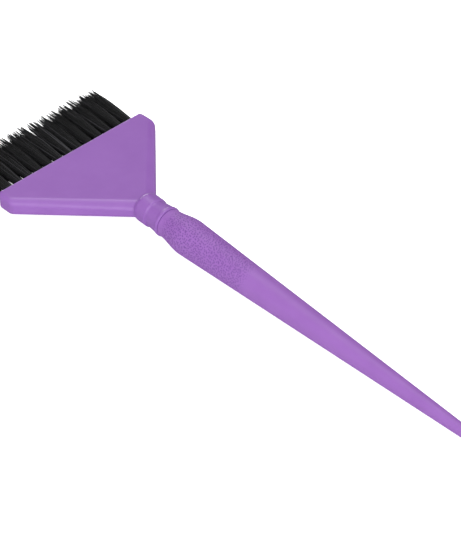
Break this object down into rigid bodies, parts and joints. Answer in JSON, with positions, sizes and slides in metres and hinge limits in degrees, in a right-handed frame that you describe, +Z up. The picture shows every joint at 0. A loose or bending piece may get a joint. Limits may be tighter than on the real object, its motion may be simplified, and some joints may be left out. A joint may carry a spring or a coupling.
{
  "type": "tint brush",
  "caption": "Hair colour brush: flat triangular head with staggered rows of black bristle tufts, on a round textured grip that tapers to a thin tail.",
  "frame": {"origin": "on the flat back of the head, on the centre line, midway between the neck's ring and the front edge", "axes": "+Y from the handle to the bristles, +X across the head, +Z up, square to the head's two flat faces"},
  "size_m": [0.0612, 0.2179, 0.0132],
  "materials": {
    "moulded_plastic": "satin moulded polypropylene",
    "bristle_nylon": "satin nylon filament",
    "anchor_metal": "bright drawn wire strip"
  },
  "bodies": {
    "brush": {"head": "moulded_plastic", "handle": "moulded_plastic", "upper_tuft_roots": "bristle_nylon", "lower_tuft_roots": "bristle_nylon", "upper_anchors": "anchor_metal", "lower_anchors": "anchor_metal"},
    "upper_bristles": {"upper_tuft_01": "bristle_nylon", "upper_tuft_02": "bristle_nylon", "upper_tuft_03": "bristle_nylon", "upper_tuft_04": "bristle_nylon", "upper_tuft_05": "bristle_nylon", "upper_tuft_06": "bristle_nylon", "upper_tuft_07": "bristle_nylon", "upper_tuft_08": "bristle_nylon", "upper_tuft_09": "bristle_nylon", "upper_tuft_10": "bristle_nylon", "upper_tuft_11": "bristle_nylon", "upper_tuft_12": "bristle_nylon", "upper_tuft_13": "bristle_nylon"},
    "lower_bristles": {"lower_tuft_01": "bristle_nylon", "lower_tuft_02": "bristle_nylon", "lower_tuft_03": "bristle_nylon", "lower_tuft_04": "bristle_nylon", "lower_tuft_05": "bristle_nylon", "lower_tuft_06": "bristle_nylon", "lower_tuft_07": "bristle_nylon", "lower_tuft_08": "bristle_nylon", "lower_tuft_09": "bristle_nylon", "lower_tuft_10": "bristle_nylon", "lower_tuft_11": "bristle_nylon", "lower_tuft_12": "bristle_nylon", "lower_tuft_13": "bristle_nylon", "lower_tuft_14": "bristle_nylon"}
  },
  "joints": [
    {"name": "upper_bend", "type": "hinge", "parent": "brush", "child": "upper_bristles", "pos_m": [0, 0.023, 0.00455], "axis": [1, 0, 0], "range_deg": [-25, 25], "stiffness_Nm_per_rad": 0.02},
    {"name": "lower_bend", "type": "hinge", "parent": "brush", "child": "lower_bristles", "pos_m": [0, 0.023, 0.00165], "axis": [1, 0, 0], "range_deg": [-25, 25], "stiffness_Nm_per_rad": 0.02}
  ],
  "couplings": [
    {"joint": "lower_bend", "follows": "upper_bend", "ratio": 1}
  ]
}
